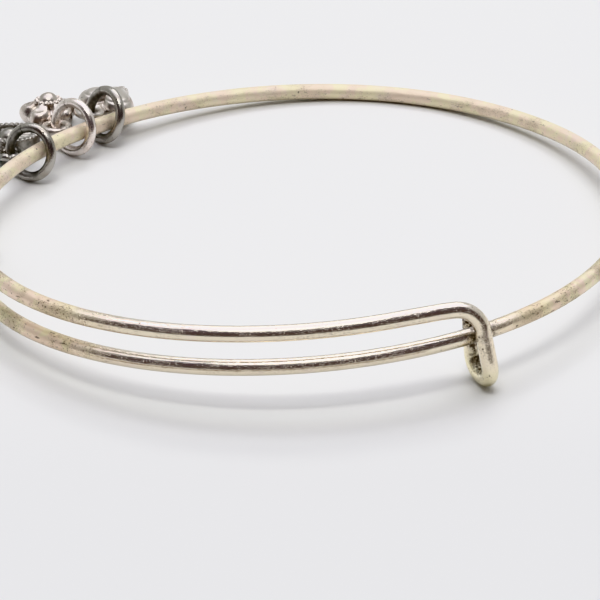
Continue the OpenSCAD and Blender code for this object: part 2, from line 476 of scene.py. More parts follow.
wire = tube_through("wire", wire_line, WIRE_D / 2 * MM, WIRE_ROUNDNESS)
bpy.ops.object.mode_set(mode="EDIT")
bpy.ops.mesh.select_all(action="SELECT")
bpy.ops.mesh.remove_doubles(threshold=1e-6)
bpy.ops.mesh.normals_make_consistent(inside=False)
bpy.ops.object.mode_set(mode="OBJECT")
bpy.ops.object.shade_smooth_by_angle(angle=SHARP_ANGLE)
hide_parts("bangle_wire")
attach(wire, "root")
print("wire:", len(wire.data.polygons), "faces")

# %% [markdown]
# ## Cut ends
# Side cutters leave a ragged face at each end of the wire. The last millimetre is divided finer, and a
# cloudy texture pushes its points in and out. The push fades to nothing along the wire, so the long
# smooth part stays as it is.

# %% Roughen the cut ends
RAGGED_LENGTH = 1.2 * MM
RAGGED_DEPTH = 0.4 * MM
RAGGED_GRAIN = 0.4 * MM


def from_end(place):
    return min((place - wire_line[0]).length, (place - wire_line[-1]).length)


for vertex in wire.data.vertices:
    vertex.select = from_end(vertex.co) < RAGGED_LENGTH
for elements in (wire.data.edges, wire.data.polygons):
    for element in elements:
        element.select = all(wire.data.vertices[i].select for i in element.vertices)
bpy.ops.object.mode_set(mode="EDIT")
bpy.ops.mesh.select_mode(type="VERT")
bpy.ops.mesh.subdivide(number_cuts=2)
bpy.ops.object.mode_set(mode="OBJECT")
ragged_end = wire.vertex_groups.new(name="ragged_end")
for vertex in wire.data.vertices:
    if from_end(vertex.co) < RAGGED_LENGTH:
        ragged_end.add([vertex.index], 1 - from_end(vertex.co) / RAGGED_LENGTH, "REPLACE")
torn_metal = bpy.data.textures.new("torn_metal", "CLOUDS")
torn_metal.noise_scale = RAGGED_GRAIN
torn_metal.noise_depth = 3
apply_modifier(wire, "DISPLACE", texture=torn_metal, texture_coords="LOCAL", strength=RAGGED_DEPTH,
               mid_level=0.5, vertex_group="ragged_end")
print("with ragged ends:", len(wire.data.polygons), "faces")

# %% [markdown]
# ## Dirt and painted shade at the cut ends and hooks
# The plating is cut through at the two ends, where dirt lies. Inside each hook, where no cloth can
# rub, and where each hook crosses the other strand, the metal is darkened by dirt and painted shade.
# Both places are worked out from the route. Each point of the mesh keeps two values, how dark it is
# painted and how near a bend it lies, which the material then reads.

# %% Dirt and painted shade at the hooks and the cut ends
# Each pair is a distance in millimetres at which the effect is full, and one at which it ends
END_DIRT = (1.4, 2.4)
HOOK_SHADE_AND_DIRT, HOOK_SHADE_AND_DIRT_MOST = (3.4, 5.0), 0.75
CORE_SHADE_AND_DIRT, CORE_SHADE_AND_DIRT_MOST = (0.9, 3.8), 0.64
BENT_METAL = (4.0, 7.5)
FACING_AWAY = (0.85, 0.15)
HOOK_AHEAD = 0.5
HOOK_LOOP = 1.6


def hook_middle(at, up):
    place = tilted(spot(at, 0, up))
    ahead = tilted(spot(at + 1, 0, up))
    return (place + Vector((0, 0, LIFT))) * MM, (ahead - place).normalized()


def fade(value, full, none):
    return eased((value - none) / (full - none))


HOOKS = [hook_middle(RIGHT_HOOK_AT + HOOK_AHEAD, -HOOK_LOOP),
         hook_middle(LEFT_HOOK_AT - HOOK_AHEAD, STRAND_GAP + HOOK_LOOP)]
HOOK_CORES = [hook_middle(RIGHT_HOOK_AT, 0), hook_middle(LEFT_HOOK_AT, STRAND_GAP)]


def dirt_and_shade_at(place, normal):
    dirt_and_shade = max(fade((place - end).length / MM, *END_DIRT) for end in (wire_line[0], wire_line[-1]))
    # Inside each hook, and where it crosses the other strand, the darkening is painted shade mixed with
    # dirt
    for middle, way in HOOKS:
        inwards = middle - place
        inwards -= way * inwards.dot(way)
        facing = fade(inwards.normalized().dot(normal), *FACING_AWAY)
        dirt_and_shade = max(dirt_and_shade, facing * fade((place - middle).length / MM, *HOOK_SHADE_AND_DIRT) * HOOK_SHADE_AND_DIRT_MOST)
    for middle, _ in HOOK_CORES:
        dirt_and_shade = max(dirt_and_shade, fade((place - middle).length / MM, *CORE_SHADE_AND_DIRT) * CORE_SHADE_AND_DIRT_MOST)
    return dirt_and_shade


def bent_at(place):
    return max(fade((place - middle).length / MM, *BENT_METAL) for middle, _ in HOOKS)


dirt_and_shade = wire.data.attributes.new("dirt_and_shade", "FLOAT", "POINT")
for vertex, value in zip(wire.data.vertices, dirt_and_shade.data):
    value.value = dirt_and_shade_at(vertex.co, vertex.normal)
bent = wire.data.attributes.new("bent", "FLOAT", "POINT")
for vertex, value in zip(wire.data.vertices, bent.data):
    value.value = bent_at(vertex.co)
print("dirty points:", sum(value.value > 0.5 for value in dirt_and_shade.data))

# %% [markdown]
# ## Effects that several metals share
# Three groups are built once. Pits are small round craters with dark floors. Handling marks are fine
# scratches and smears that change the gloss. Antiqued metal mixes a clean and a dark colour by how
# low the surface lies and by a blotchy noise.

# %% Group builder
VECTOR = "NodeSocketVector"
NUMBER = "NodeSocketFloat"
COLOUR = "NodeSocketColor"


def new_group(name, inputs, outputs):
    group = bpy.data.node_groups.new(name, "ShaderNodeTree")
    for label, kind, value in inputs:
        socket = group.interface.new_socket(name=label, in_out="INPUT", socket_type=kind)
        if value is not None:
            socket.default_value = value
    for label, kind in outputs:
        group.interface.new_socket(name=label, in_out="OUTPUT", socket_type=kind)
    return group, group.nodes.new("NodeGroupInput").outputs, group.nodes.new("NodeGroupOutput").inputs


def use_group(tree, group, inputs):
    return add_node(tree, "ShaderNodeGroup", inputs, node_tree=group).outputs


# %% Pits
PIT_SCALE = 3000.0
PIT_SIZES = (0.12, 0.42)
PIT_WALL = (0.45, 1.0)

pits_group, given, result = new_group(
    "pits", [("Vector", VECTOR, None), ("Scale", NUMBER, PIT_SCALE), ("Amount", NUMBER, 0.5)],
    [("Mask", NUMBER), ("Height", NUMBER)])
cells = add_node(pits_group, "ShaderNodeTexVoronoi", {"Vector": given["Vector"],
                                                      "Scale": given["Scale"], "Randomness": 1.0})
chance = add_node(pits_group, "ShaderNodeSeparateColor", {"Color": cells.outputs["Color"]}).outputs
chosen = math_node(pits_group, "LESS_THAN", chance["Red"], given["Amount"])
size = remap(pits_group, chance["Green"], 0.0, 1.0, *PIT_SIZES, smooth=False)
from_middle = math_node(pits_group, "DIVIDE", cells.outputs["Distance"], size)
crater = times(pits_group, remap(pits_group, from_middle, *PIT_WALL, 1.0, 0.0), chosen)
pits_group.links.new(crater, result["Mask"])
pits_group.links.new(times(pits_group, crater, -1.0), result["Height"])
print("pits:", len(pits_group.nodes), "nodes")

# %% Handling marks
SMEAR_SCALE = 420.0

marks_group, given, result = new_group(
    "handling_marks", [("Vector", VECTOR, None), ("Along", VECTOR, None)],
    [("Smear", NUMBER), ("Scratch", NUMBER)])
marks_group.links.new(noise(marks_group, given["Vector"], SMEAR_SCALE, 4.0, 0.6), result["Smear"])
marks_group.links.new(noise(marks_group, given["Along"], 1.0, 3.0, 0.55), result["Scratch"])
print("handling marks:", len(marks_group.nodes), "nodes")

# %% Antiqued metal
BLOTCH_SCALE = 900.0
BLOTCH_REACH = 0.9
CASTING_GRAIN_SCALE = 5200.0
WARM_SCALE = 330.0
WARM_EDGE = (0.52, 0.68)
WARM_MOST = 0.55
FILM_EDGE = (0.62, 1.35)

antique_group, given, result = new_group(
    "antiqued_metal",
    [("Vector", VECTOR, None), ("Hollow", NUMBER, 0.5), ("Darkness", NUMBER, 0.5),
     ("Clean", COLOUR, rgb(0.6, 0.6, 0.6)), ("Dark", COLOUR, rgb(0.08, 0.08, 0.07)),
     ("Warm", COLOUR, rgb(0.3, 0.2, 0.15))],
    [("Color", COLOUR), ("Film", NUMBER), ("Height", NUMBER)])
blotch = noise(antique_group, given["Vector"], BLOTCH_SCALE, 4.0, 0.6)
casting_grain = noise(antique_group, given["Vector"], CASTING_GRAIN_SCALE, 3.0, 0.6)
low_place = plus(antique_group, given["Hollow"],
                 times(antique_group, plus(antique_group, blotch, -0.5), BLOTCH_REACH))
film = remap(antique_group, plus(antique_group, low_place, given["Darkness"]), *FILM_EDGE)
warm_patch = remap(antique_group, noise(antique_group, given["Vector"], WARM_SCALE), *WARM_EDGE)
clean_tone = mix_colour(antique_group, times(antique_group, warm_patch, WARM_MOST),
                        given["Clean"], given["Warm"])
film_tone = mix_colour(antique_group, film, clean_tone, given["Dark"])
antique_group.links.new(film_tone, result["Color"])
antique_group.links.new(film, result["Film"])
antique_group.links.new(plus(antique_group, times(antique_group, blotch, 0.5),
                             times(antique_group, casting_grain, 0.5)), result["Height"])
print("antiqued metal:", len(antique_group.nodes), "nodes")

# %% [markdown]
# ## Plated wire
# The plating is a pale warm gold, rubbed bright on the two long strands at the front. Round the rest
# of the ring it is duller, in yellow and pink clouds with an olive film and brown specks, and pits lie
# where the hooks were bent. Fine lines run along the wire from drawing it through a die, and the cut
# ends are dark and rough.

# %% Helpers of the metals
BUMP_DEPTH = 0.03 * MM


def bump(tree, shader, height):
    node = add_node(tree, "ShaderNodeBump", {"Height": height, "Distance": BUMP_DEPTH, "Strength": 1.0})
    tree.links.new(node.outputs["Normal"], shader.inputs["Normal"])


def attribute(tree, name):
    return add_node(tree, "ShaderNodeAttribute", attribute_name=name).outputs["Fac"]


def stretched(tree, vector, scale, **moves):
    node = add_node(tree, "ShaderNodeMapping", {"Vector": vector, "Scale": scale, **moves})
    return node.outputs["Vector"]


def swing(tree, vector, scale, detail, roughness):
    # A noise that swings evenly round zero
    return plus(tree, noise(tree, vector, scale, detail, roughness), -0.5)


# %% Scales of the wire's marks
# How many of the marks fit on a metre
WEAR_SCALE = 160.0
CLOUD_SCALE = 300.0
MOTTLE_SCALE = 520.0
DENT_SCALE = 650.0
SWARM_SCALE = 800.0
RAGGED_MASK_SCALE = 1500.0
GRAIN_SCALE = 3800.0
TORN_MASK_SCALE = 4200.0
FINE_PIT_SCALE = 5200.0
SHADE_SPECK_SCALE = 5600.0
SPECK_SCALE = 6800.0
# How often the drawing lines change along the wire, in millimetres, and how many lie round it
DRAWN_LENGTH = 5
DRAWN_LINES = 46.0
STREAK_SHAPE = (12.0, 0.85, 1.0)
DASH_SHAPE = (4.5, 0.30, 1.0)
DASH_START = (3.7, 1.3, 0.0)

# %% Stretches of the wire
# Each pair says where round the ring a look starts and is full: 1 is the front and -1 the back
DULL_EDGE = (0.735, 0.825)
FAR_SIDE_EDGE = (0.35, -0.4)
BREAK_UP_BEHIND = (0.50, 0.68)
BREAK_UP_BEFORE = (0.90, 0.79)
SHADE_SPECK_EDGE = (0.74, 0.86)
ROUGH_EDGE = (0.2, -0.6)
SCATTER_EDGE = (0.4, -0.5)
FRONT = (0.0, -1.0, 0.0)
WEAR_REACH = 0.12

plated, tree, plated_shader = new_material("plated_wire", metallic=1.0)
place = coordinates(tree, "Object")
xyz = axes(tree, place)
flat = add_node(tree, "ShaderNodeCombineXYZ", {"X": xyz["X"], "Y": xyz["Y"]}).outputs["Vector"]
towards_front = vector_node(tree, "DOT_PRODUCT", vector_node(tree, "NORMALIZE", flat), FRONT)
wear = times(tree, swing(tree, place, WEAR_SCALE, 3.0, 0.6), WEAR_REACH)
dull = remap(tree, plus(tree, towards_front, wear), *DULL_EDGE, 1.0, 0.0)
far_side = remap(tree, towards_front, *FAR_SIDE_EDGE)
# The finish breaks up most where the rubbed stretch ends
break_up = times(tree, remap(tree, towards_front, *BREAK_UP_BEHIND),
                 remap(tree, towards_front, *BREAK_UP_BEFORE))
wire_map = add_node(tree, "ShaderNodeUVMap").outputs["UV"]
along = stretched(tree, wire_map, (wire_length / MM / DRAWN_LENGTH, DRAWN_LINES, 1.0))
marks = use_group(tree, marks_group, {"Vector": place, "Along": along})
print("stretches:", len(tree.nodes), "nodes")

# %% Dirt, painted shade, specks and pits of the wire
GRIME_AND_SHADE_EDGE = (0.25, 0.85)
RAGGED_REACH = 1.1
RAGGED_EDGE = (0.0, 0.3)
ROUGH_PATCH_EDGE = (0.38, 0.56)
# How grainy the rough patches are everywhere, and what each stretch adds or takes
GRAIN_ALL, GRAIN_DULL, GRAIN_FAR, GRAIN_BREAK_UP = 0.4, 0.5, -0.35, 0.5
GRAIN_LOST_IN_BENDS = 0.7
SPECK_SPOTS, SPECK_STREAKS = 0.6, 0.4
SPECK_EDGE = (0.53, 0.62)
DASH_EDGE = (0.63, 0.67)
SWARM_EDGE = (0.46, 0.60)
SWARM_MOST = 0.7
PITS_GRAINY, PITS_BENT = 0.06, 0.18

dirt_and_shade_value = attribute(tree, "dirt_and_shade")
bent_value = attribute(tree, "bent")
ragged = times(tree, swing(tree, place, RAGGED_MASK_SCALE, 4.0, 0.7), RAGGED_REACH,
               remap(tree, dirt_and_shade_value, *RAGGED_EDGE))
grimy_and_shaded = remap(tree, plus(tree, dirt_and_shade_value, ragged), *GRIME_AND_SHADE_EDGE)
rough_patch = remap(tree, noise(tree, place, CLOUD_SCALE, 3.0, 0.6), *ROUGH_PATCH_EDGE)
grain_round = plus(tree, times(tree, dull, GRAIN_DULL), times(tree, far_side, GRAIN_FAR))
grainy = plus(tree, times(tree, rough_patch, grain_round), times(tree, rough_patch, GRAIN_ALL),
              times(tree, rough_patch, break_up, GRAIN_BREAK_UP))
grainy = times(tree, grainy, less_by(tree, bent_value, GRAIN_LOST_IN_BENDS))
streaks = noise(tree, stretched(tree, along, STREAK_SHAPE), 1.0, 3.0, 0.6)
spots = noise(tree, place, SPECK_SCALE, 2.0, 0.6)
speck = remap(tree, plus(tree, times(tree, spots, SPECK_SPOTS), times(tree, streaks, SPECK_STREAKS)),
              *SPECK_EDGE)
dash = noise(tree, stretched(tree, along, DASH_SHAPE, Location=DASH_START), 1.0, 3.0, 0.6)
dashes = times(tree, remap(tree, dash, *DASH_EDGE), times(tree, dull, less_by(tree, far_side, 0.5)))
pit_amount = plus(tree, times(tree, grainy, PITS_GRAINY), times(tree, bent_value, PITS_BENT))
pits = use_group(tree, pits_group, {"Vector": place, "Scale": PIT_SCALE, "Amount": pit_amount})
# Bending opened a swarm of finer pits in the plating of each hook
swarm = times(tree, bent_value,
              remap(tree, noise(tree, place, SWARM_SCALE), *SWARM_EDGE, 0.0, SWARM_MOST))
bend_pits = use_group(tree, pits_group, {"Vector": place, "Scale": FINE_PIT_SCALE, "Amount": swarm})
all_pits = math_node(tree, "MAXIMUM", pits["Mask"], bend_pits["Mask"])
print("with dirt and pits:", len(tree.nodes), "nodes")

# %% Colours of the wire
GOLD_RUBBED = rgb(0.90, 0.81, 0.645)
GOLD_TOP_HIGHLIGHT = rgb(0.895, 0.828, 0.75)
GOLD_YELLOW = rgb(0.875, 0.82, 0.57)
GOLD_PINK = rgb(0.88, 0.715, 0.605)
GOLD_FILM = rgb(0.84, 0.71, 0.68)
GOLD_EDGE_SHEEN = rgb(0.86, 0.83, 0.82)
GOLD_UNDERSIDE_SHADE = rgb(0.50, 0.44, 0.33)
GOLD_BRONZE = rgb(0.83, 0.68, 0.46)
OLIVE_FILM = rgb(0.48, 0.435, 0.30)
BROWN = rgb(0.07, 0.05, 0.035)
SPECK_AND_SHADE_BROWN = rgb(0.27, 0.185, 0.11)
# How far the metal faces up, from -1 to 1, where a look starts and is full
TOP_FACING = (0.2, 0.8)
UNDER_FACING = (-0.25, -0.85)
LINE_BELOW = (-0.02, 0.06)
LINE_ABOVE = (0.24, 0.14)
# Heights over the table
LOW_BEND_HEIGHT = (2.0 * MM, 3.6 * MM)
LOWER_STRAND_HEIGHT = (6.7 * MM, 6.5 * MM)
# Where a noise becomes a patch
MOTTLE_EDGE = (0.40, 0.60)
CLOUD_EDGE = (0.45, 0.60)
SMEAR_EDGE = (0.5, 0.75)
SHADE_SPECK_SPOTS = (0.42, 0.58)
TORN_EDGE = (0.50, 0.57)
SHEEN_FACING_EDGE = (0.55, 0.95)
# How strongly each film or mark covers the colour below it
CLOUD_COVER = 0.60
SMEAR_COVER = 0.45
SHEEN_COVER = 0.7
BRONZE_COVER = 0.35
UNDERSIDE_SHADE_COVER = 0.8
LOW_BEND_COVER = 0.7
SHADE_SPECK_COVER = (0.3, 0.95)
SPECK_COVER = 0.75
DASH_COVER = 0.75
TORN_COVER = (1.0, 0.10)
PIT_COVER = 0.85

mottle = times(tree, remap(tree, noise(tree, place, MOTTLE_SCALE, 3.0, 0.6), *MOTTLE_EDGE),
               less_by(tree, far_side, 0.4))
mottle = plus(tree, mottle, times(tree, far_side, 0.14))
# The top of the wire is painted a paler, pinker gold, a painted tint for the highlight it mirrors
facing_up = axes(tree, coordinates(tree, "Normal"))["Z"]
rubbed_tone_and_highlight = mix_colour(tree, remap(tree, facing_up, *TOP_FACING), GOLD_RUBBED, GOLD_TOP_HIGHLIGHT)
tone = mix_colour(tree, dull, rubbed_tone_and_highlight, mix_colour(tree, mottle, GOLD_YELLOW, GOLD_PINK))
# Old skin oil leaves an olive film in cloudy patches where nothing rubs
cloud = remap(tree, noise(tree, place, CLOUD_SCALE, 3.0, 0.6), *CLOUD_EDGE, 0.0, CLOUD_COVER)
cloud = times(tree, cloud, plus(tree, dull, times(tree, far_side, -0.5)))
tone = mix_colour(tree, cloud, tone, OLIVE_FILM)
tone = mix_colour(tree, remap(tree, marks["Smear"], *SMEAR_EDGE, 0.0, SMEAR_COVER), tone, GOLD_FILM)
# Painted reflection: where the wire turns edge-on to the camera its gold is paled to a cool sheen
edge_on = add_node(tree, "ShaderNodeLayerWeight", {"Blend": 0.5}).outputs["Facing"]
rim = times(tree, remap(tree, edge_on, *SHEEN_FACING_EDGE, 0.0, SHEEN_COVER), less_by(tree, dull, 0.7))
tone = mix_colour(tree, rim, tone, GOLD_EDGE_SHEEN)
tone = mix_colour(tree, times(tree, break_up, BRONZE_COVER), tone, GOLD_BRONZE)
# The underside is painted a darker brown as painted shade, and each hook's low bend is yellower
tone = mix_colour(tree, remap(tree, facing_up, *UNDER_FACING, 0.0, UNDERSIDE_SHADE_COVER), tone, GOLD_UNDERSIDE_SHADE)
low_bend = times(tree, bent_value, remap(tree, xyz["Z"], *LOW_BEND_HEIGHT, LOW_BEND_COVER, 0.0))
tone = mix_colour(tree, low_bend, tone, GOLD_YELLOW)
# Along the lower strand's front a speckled brown line is painted: dirt specks, and a painted dark
# reflection of the strand's shadow on the table
front_line = times(tree, remap(tree, facing_up, *LINE_BELOW), remap(tree, facing_up, *LINE_ABOVE))
lower_strand = times(tree, remap(tree, xyz["Z"], *LOWER_STRAND_HEIGHT),
                     remap(tree, bent_value, 0.0, 0.5, 1.0, 0.0))
reflected_shade_specks = times(tree, remap(tree, noise(tree, place, SHADE_SPECK_SCALE, 3.0, 0.7), *SHADE_SPECK_SPOTS, *SHADE_SPECK_COVER),
             remap(tree, towards_front, *SHADE_SPECK_EDGE))
tone = mix_colour(tree, times(tree, front_line, lower_strand, reflected_shade_specks), tone, SPECK_AND_SHADE_BROWN)
tone = mix_colour(tree, times(tree, speck, grainy, SPECK_COVER), tone, SPECK_AND_SHADE_BROWN)
tone = mix_colour(tree, times(tree, dashes, DASH_COVER), tone, BROWN)
# Inside the hooks this brown is painted shade mixed with dirt, and at the cut ends it is dirt
torn = remap(tree, noise(tree, place, TORN_MASK_SCALE, 3.0, 0.7), *TORN_EDGE, *TORN_COVER)
tone = mix_colour(tree, times(tree, grimy_and_shaded, torn), tone, BROWN)
tone = mix_colour(tree, times(tree, all_pits, PIT_COVER), tone, BROWN)
tree.links.new(tone, plated_shader.inputs["Base Color"])
print("with colours:", len(tree.nodes), "nodes")

# %% Gloss and relief of the wire
ROUGH_RUBBED, ROUGH_DULL = 0.10, 0.38
ROUGH_SMEAR, ROUGH_GRIME, ROUGH_GRAIN, ROUGH_FAR = 0.08, 0.25, 0.06, 0.12
SCATTER_DULL, SCATTER_FAR, SCATTER_GRIME = -0.20, -0.34, -0.3
# Heights of the marks, where 1 is the bump's whole depth
SCRATCH_HEIGHT = 0.10
SPECK_HEIGHT, SPECK_GRAINY_HEIGHT = -0.15, -0.8
GRAIN_HEIGHT = 1.1
DENT_DULL_HEIGHT, DENT_BENT_HEIGHT = 5.0, 1.0

rough = plus(tree, remap(tree, dull, 0.0, 1.0, ROUGH_RUBBED, ROUGH_DULL, smooth=False),
             times(tree, marks["Smear"], ROUGH_SMEAR), times(tree, grimy_and_shaded, ROUGH_GRIME),
             times(tree, grainy, ROUGH_GRAIN),
             remap(tree, towards_front, *ROUGH_EDGE, 0.0, ROUGH_FAR))
tree.links.new(rough, plated_shader.inputs["Roughness"])
# A dull film scatters light as well as mirroring it, so it counts as less of a metal
scatter = plus(tree, times(tree, dull, SCATTER_DULL),
               remap(tree, towards_front, *SCATTER_EDGE, 0.0, SCATTER_FAR))
tree.links.new(plus(tree, plus(tree, 1.0, scatter), times(tree, grimy_and_shaded, SCATTER_GRIME)),
               plated_shader.inputs["Metallic"])
speck_depth = plus(tree, times(tree, grainy, SPECK_GRAINY_HEIGHT), SPECK_HEIGHT)
grain_depth = plus(tree, times(tree, grainy, GRAIN_HEIGHT), grimy_and_shaded)
dent_depth = plus(tree, times(tree, dull, DENT_DULL_HEIGHT), times(tree, bent_value, DENT_BENT_HEIGHT))
height = plus(tree, times(tree, marks["Scratch"], SCRATCH_HEIGHT), times(tree, all_pits, -1.0),
              times(tree, speck, speck_depth),
              times(tree, noise(tree, place, GRAIN_SCALE, 4.0, 0.6), grain_depth),
              times(tree, swing(tree, place, DENT_SCALE, 2.0, 0.5), dent_depth))
bump(tree, plated_shader, height)
wire.data.materials.clear()
wire.data.materials.append(plated)
print("plated wire:", len(tree.nodes), "nodes")

# %% [markdown]
# ## Cast charms
# Each charm is one casting: a body, a round eye and a short neck between them. Separate forms that
# cross are joined and remeshed with fine voxels, which melts them into one skin with soft fillets,
# as metal in a mould does. A charm is modelled in millimetres round its own eye, where voxels can be
# small enough, and is then scaled and laid in the place that its solid holds.

# %% Places of the charms
# The middle of each eye in millimetres, how far the body slopes down, and which way it heads
CHARM_PLACES = {
    "heart": ((-22.114, 25.007, 2.202), 8.449, -33),
    "flower": ((-25.441, 21.828, 2.096), 7.219, 12),
    "disc": ((-29.841, 16.130, 2.143), 9.312, 4),
}


def lay_charm(charm, kind):
    eye, slope, heading = CHARM_PLACES[kind]
    charm.matrix_world = (Matrix.Translation(Vector(eye) * MM)
                          @ Matrix.Rotation(math.radians(heading), 4, "Z")
                          @ Matrix.Rotation(math.radians(-slope), 4, "X")
                          @ Matrix.Scale(MM, 4))
    bpy.ops.object.select_all(action="DESELECT")
    charm.select_set(True)
    bpy.context.view_layer.objects.active = charm
    bpy.ops.object.transform_apply(location=True, rotation=True, scale=True)


# %% Eye and neck
EYE_R = 1.25
EYE_WIRE = 0.8
NECK_SPREAD = (1.5, 1.0, 1.2)


def charm_eye(neck_length):
    bpy.ops.object.select_all(action="DESELECT")
    bpy.ops.mesh.primitive_torus_add(major_radius=EYE_R, minor_radius=EYE_WIRE / 2,
                                     major_segments=72, minor_segments=24)
    eye = bpy.context.object
    bpy.ops.object.select_all(action="DESELECT")
    bpy.ops.mesh.primitive_cylinder_add(vertices=32, radius=EYE_WIRE / 2, depth=neck_length,
                                        location=(0, EYE_R + neck_length / 2, 0),
                                        rotation=(math.pi / 2, 0, 0))
    neck = bpy.context.object
    bpy.ops.object.transform_apply(location=True, rotation=True, scale=True)
    # The neck spreads where it runs into the body
    for vertex in neck.data.vertices:
        vertex.select = vertex.co.y > EYE_R + neck_length / 2
    bpy.ops.object.mode_set(mode="EDIT")
    bpy.ops.transform.resize(value=NECK_SPREAD)
    bpy.ops.object.mode_set(mode="OBJECT")
    return [eye, neck]


# %% Cast the forms into one skin
CASTING_VOXEL = 0.055


def drop_crumbs(piece):
    # Remeshing can shut a tiny bubble inside the metal, so only the outer skin is kept
    bpy.ops.object.mode_set(mode="EDIT")
    bpy.ops.mesh.select_mode(type="VERT")
    bpy.ops.mesh.select_all(action="DESELECT")
    bpy.ops.object.mode_set(mode="OBJECT")
    min(piece.data.vertices, key=lambda vertex: vertex.co.y).select = True
    bpy.ops.object.mode_set(mode="EDIT")
    bpy.ops.mesh.select_linked()
    bpy.ops.mesh.select_all(action="INVERT")
    bpy.ops.mesh.delete(type="VERT")
    bpy.ops.object.mode_set(mode="OBJECT")


def cast_together(name, forms):
    bpy.ops.object.select_all(action="DESELECT")
    for form in forms:
        form.select_set(True)
    bpy.context.view_layer.objects.active = forms[0]
    bpy.ops.object.join()
    charm = bpy.context.object
    charm.name = name
    apply_modifier(charm, "REMESH", mode="VOXEL", voxel_size=CASTING_VOXEL)
    drop_crumbs(charm)
    apply_modifier(charm, "SMOOTH", factor=0.5, iterations=3)
    bpy.ops.object.shade_smooth()
    return charm


# %% Remember where the metal lies low
HOLLOW_REACH = 30
HOLLOW_DEPTH = 0.12


def mark_hollows(piece):
    smoothed = piece.copy()
    smoothed.data = piece.data.copy()
    bpy.context.scene.collection.objects.link(smoothed)
    apply_modifier(smoothed, "SMOOTH", factor=0.5, iterations=HOLLOW_REACH)
    hollow = piece.data.attributes.new("hollow", "FLOAT", "POINT")
    for vertex, around, value in zip(piece.data.vertices, smoothed.data.vertices, hollow.data):
        value.value = 0.5 + (around.co - vertex.co).dot(vertex.normal) / HOLLOW_DEPTH / 2
    bpy.data.objects.remove(smoothed)


# %% [markdown]
# ## Heart charm
# A puffed heart on the right jump ring, its notch towards the eye, with one line cut inside its edge.
# A round ball already has the rows of a pillow, so its points are moved: each row takes the heart's
# outline, and its height stays round.

# %% Puffed forms
FULLNESS = 0.6
PUFF_ROWS = 64


def puffed(segments, outline, thickness, middle, relief):
    bpy.ops.object.select_all(action="DESELECT")
    bpy.ops.mesh.primitive_uv_sphere_add(segments=segments, ring_count=PUFF_ROWS, radius=1)
    form = bpy.context.object
    for vertex in form.data.vertices:
        turn = math.atan2(vertex.co.y, vertex.co.x)
        spread = math.hypot(vertex.co.x, vertex.co.y) ** FULLNESS
        x, y = outline(turn)
        cut = relief(turn, spread) if vertex.co.z > 0 else 0
        vertex.co = (x * spread, y * spread + middle, thickness / 2 * vertex.co.z - cut)
    return form


def groove(value, at, width):
    return math.exp(-((value - at) / width) ** 2)


# %% Model the heart
# The heart's curve is 32 units wide, and its notch lies 5 units from its middle
HEART_UNIT = 6.4 / 32
HEART_T = 3.0
HEART_NECK = 1.85
HEART_MIDDLE = EYE_R - EYE_WIRE / 2 + HEART_NECK + 5 * HEART_UNIT
HEART_LINE_AT = 0.80
HEART_LINE_WIDE = 0.035
HEART_LINE_DEEP = 0.15


def heart_outline(turn):
    t = turn + math.pi / 2
    return (HEART_UNIT * 16 * math.sin(t) ** 3,
            HEART_UNIT * (-13 * math.cos(t) + 5 * math.cos(2 * t)
                          + 2 * math.cos(3 * t) + math.cos(4 * t)))


def heart_relief(turn, spread):
    return HEART_LINE_DEEP * groove(spread, HEART_LINE_AT, HEART_LINE_WIDE)


heart = cast_together("heart", charm_eye(HEART_NECK)
                      + [puffed(96, heart_outline, HEART_T, HEART_MIDDLE, heart_relief)])
mark_hollows(heart)
lay_charm(heart, "heart")
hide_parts("heart_charm")
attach(heart, "root")
print("heart:", len(heart.data.polygons), "faces")

# %% [markdown]
# ## Flower charm
# Five round petals with a valley between each two, a shallow cup in each, and a bead in the middle
# with a collar of small grains. The petals are a pillow with a waving outline, and the grains are
# modelled once and copied round the bead before all is cast together.

# %% Petals
PETALS = 5
PETAL_DEPTH = 0.13
FLOWER_T = 2.8
FLOWER_NECK = 1.0
NECK_SUNK = 0.3
FLOWER_R = 6.2 / 2 / (1 + PETAL_DEPTH)
FLOWER_MIDDLE = EYE_R + FLOWER_NECK + FLOWER_R * (1 - PETAL_DEPTH)
VALLEY_DEEP = 0.5
VALLEY_SHARP = 5
VALLEY_START = 0.4
CUP_DEEP = 0.3
CUP_AT = 0.68
CUP_WIDE = 0.15


def petal_wave(turn):
    return math.cos(PETALS * (turn + math.pi / 2))


def flower_outline(turn):
    r = FLOWER_R * (1 - PETAL_DEPTH * petal_wave(turn))
    return r * math.cos(turn), r * math.sin(turn)


def flower_relief(turn, spread):
    between = (1 + petal_wave(turn)) / 2
    valley = between ** VALLEY_SHARP * min(spread / VALLEY_START, 1)
    cup = (1 - between) * groove(spread, CUP_AT, CUP_WIDE)
    return VALLEY_DEEP * valley + CUP_DEEP * cup


# %% Bead and its collar
BEAD_R = 1.1
BEAD_SUNK = 0.3
GRAINS = 13
GRAIN_R = 0.25
GRAIN_SUNK = 0.05
COLLAR_R = 1.22


def round_grain(radius, place):
    bpy.ops.object.select_all(action="DESELECT")
    bpy.ops.mesh.primitive_uv_sphere_add(segments=32, ring_count=20, radius=radius, location=place)
    return bpy.context.object


def collar(middle, height):
    grain = round_grain(GRAIN_R, (COLLAR_R, middle, height))
    grains = [grain]
    for i in range(1, GRAINS):
        copy = grain.copy()
        copy.data = grain.data.copy()
        angle = TURN * i / GRAINS
        copy.location = (COLLAR_R * math.cos(angle), middle + COLLAR_R * math.sin(angle), height)
        bpy.context.scene.collection.objects.link(copy)
        grains.append(copy)
    return grains


